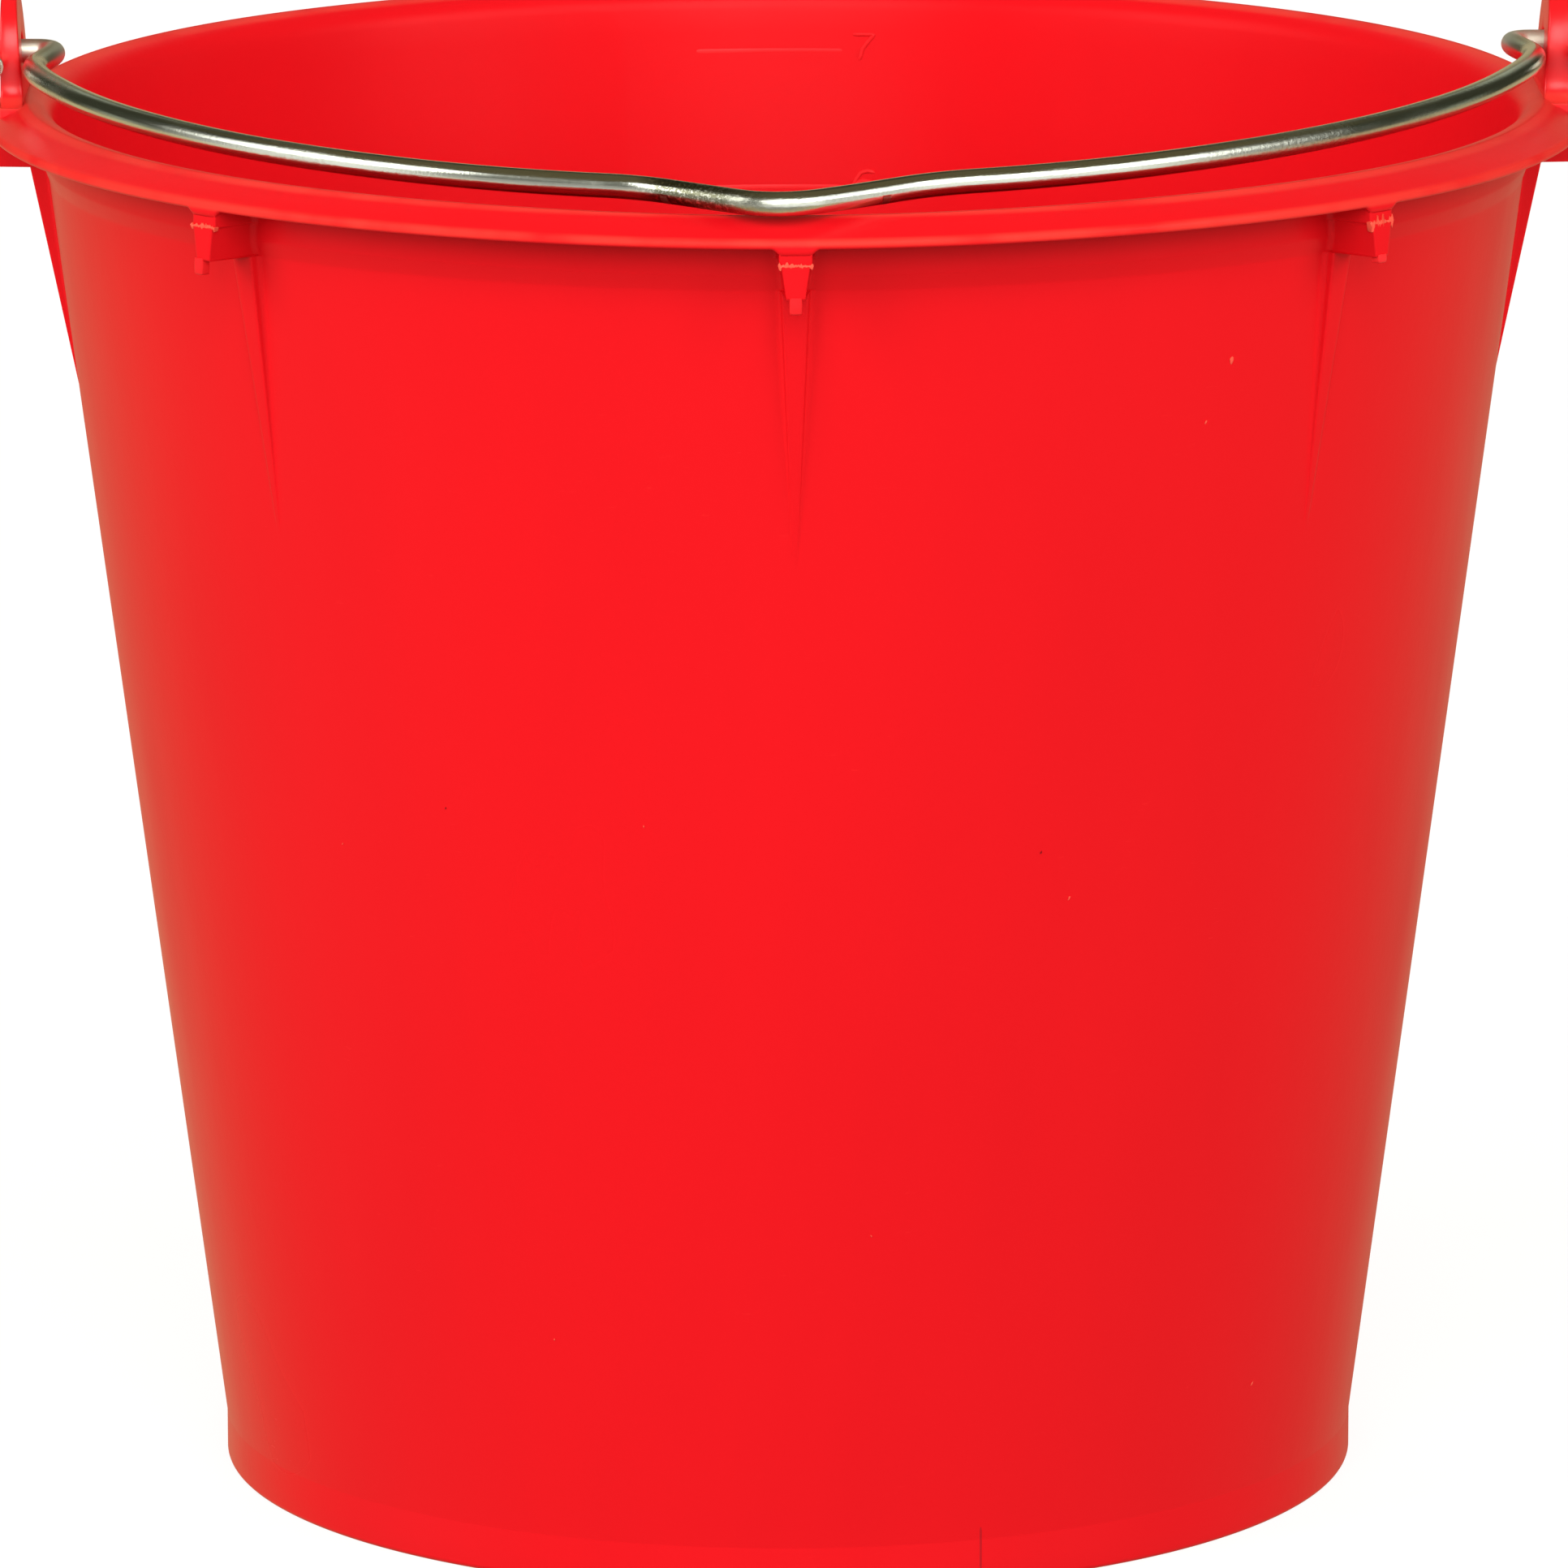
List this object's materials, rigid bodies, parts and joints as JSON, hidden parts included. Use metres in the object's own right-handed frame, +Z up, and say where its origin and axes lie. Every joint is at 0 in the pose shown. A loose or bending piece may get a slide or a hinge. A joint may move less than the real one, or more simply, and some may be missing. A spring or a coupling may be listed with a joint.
{
  "type": "wash bucket",
  "caption": "Tapered moulded plastic wash bucket with a wide brimmed lip, stacking ribs, upright ears and a free-swinging steel wire bail with a thumb notch.",
  "frame": {"origin": "centre of the foot ring's underside, on the surface that the bucket stands on", "axes": "+X towards one ear, along the bail's hinge line; -Y towards the side on which the lowered bail lies; +Z up out of the mouth"},
  "size_m": [0.2616, 0.2596, 0.2444],
  "materials": {
    "tub_plastic": "red moulded polypropylene, soft gloss",
    "bail_wire": "bright zinc-plated drawn steel wire"
  },
  "bodies": {
    "tub": {"tub": "tub_plastic"},
    "bail": {"bail": "bail_wire"}
  },
  "joints": [
    {"name": "bail_hinge", "type": "hinge", "parent": "tub", "child": "bail", "pos_m": [0, 0, 0.234], "axis": [-1, 0, 0], "range_deg": [0, 184.5]}
  ]
}
